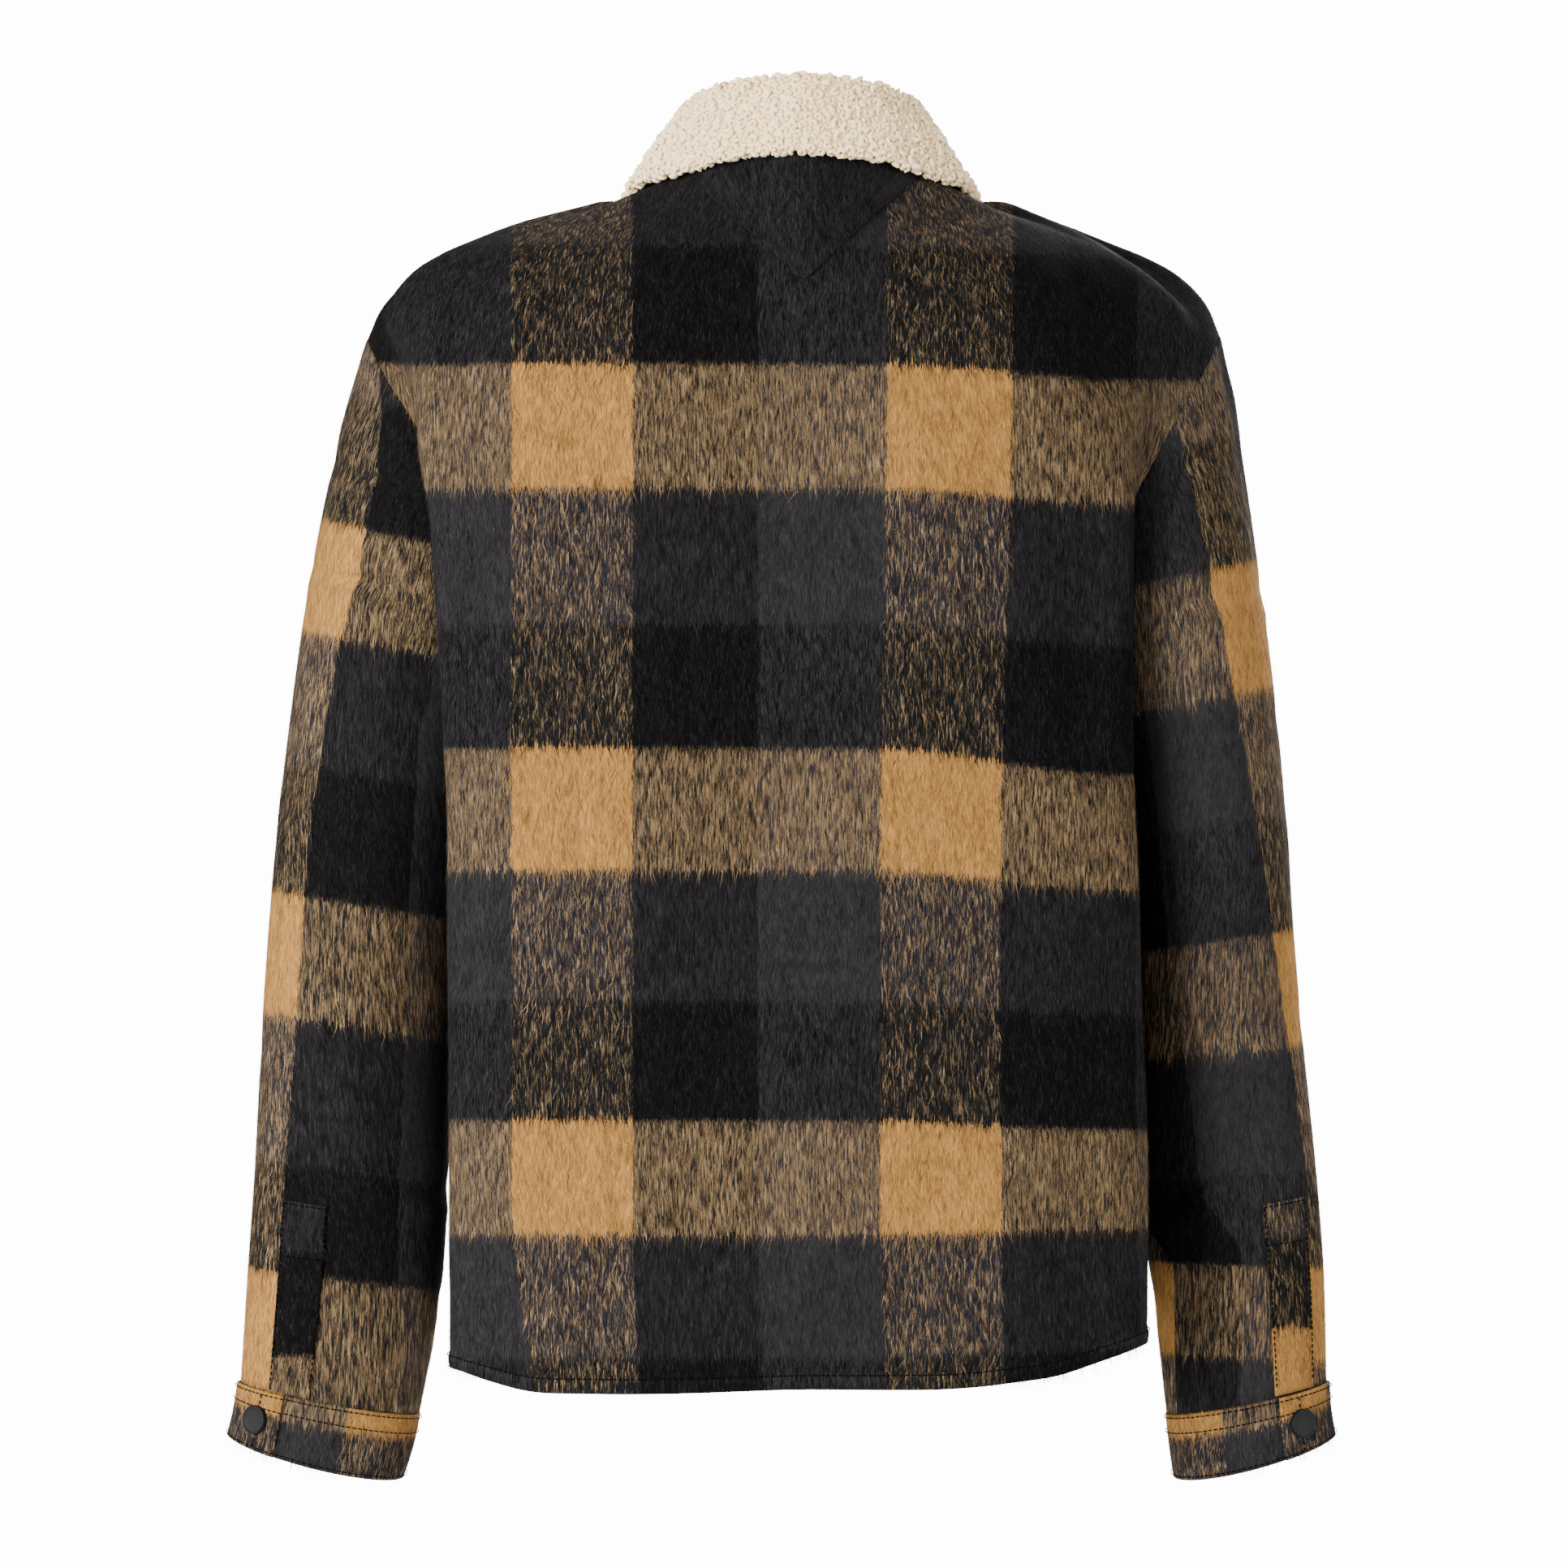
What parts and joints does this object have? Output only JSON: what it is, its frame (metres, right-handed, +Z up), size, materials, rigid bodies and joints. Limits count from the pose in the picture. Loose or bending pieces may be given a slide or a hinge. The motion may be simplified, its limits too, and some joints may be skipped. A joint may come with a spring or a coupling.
{
  "type": "teddy collar overshirt, worn shape, held at the wearer's neck and shoulders",
  "caption": "Long-sleeved overshirt in brushed block check wool with a cream teddy collar, hollow as if worn, with cuffs, sleeve plackets and snaps.",
  "frame": {"origin": "base of the neck, between the side neck points, where the wearer holds the garment", "axes": "+Z up, the front faces -Y, +X is the wearer's left"},
  "size_m": [0.647, 0.2755, 0.8096],
  "materials": {
    "check_wool": "brushed long nap, camel, charcoal and black block check",
    "charcoal_wool": "brushed long nap, charcoal",
    "cream_teddy": "curled teddy pile, cream",
    "black_snap": "matt black paint"
  },
  "bodies": {
    "root": {"back": "check_wool", "collar_teddy": "cream_teddy", "cuff_left": "check_wool", "cuff_right": "check_wool", "cuff_snap_left": "black_snap", "cuff_snap_right": "black_snap", "front_left": "check_wool", "front_placket": "check_wool", "front_right": "check_wool", "front_snap_1": "black_snap", "front_snap_2": "black_snap", "front_snap_3": "black_snap", "front_snap_4": "black_snap", "front_snap_5": "black_snap", "front_snap_6": "black_snap", "front_snap_7": "black_snap", "neck_patch": "charcoal_wool", "sleeve_left": "check_wool", "sleeve_placket_left": "check_wool", "sleeve_placket_right": "check_wool", "sleeve_right": "check_wool", "under_collar": "check_wool"}
  },
  "joints": []
}
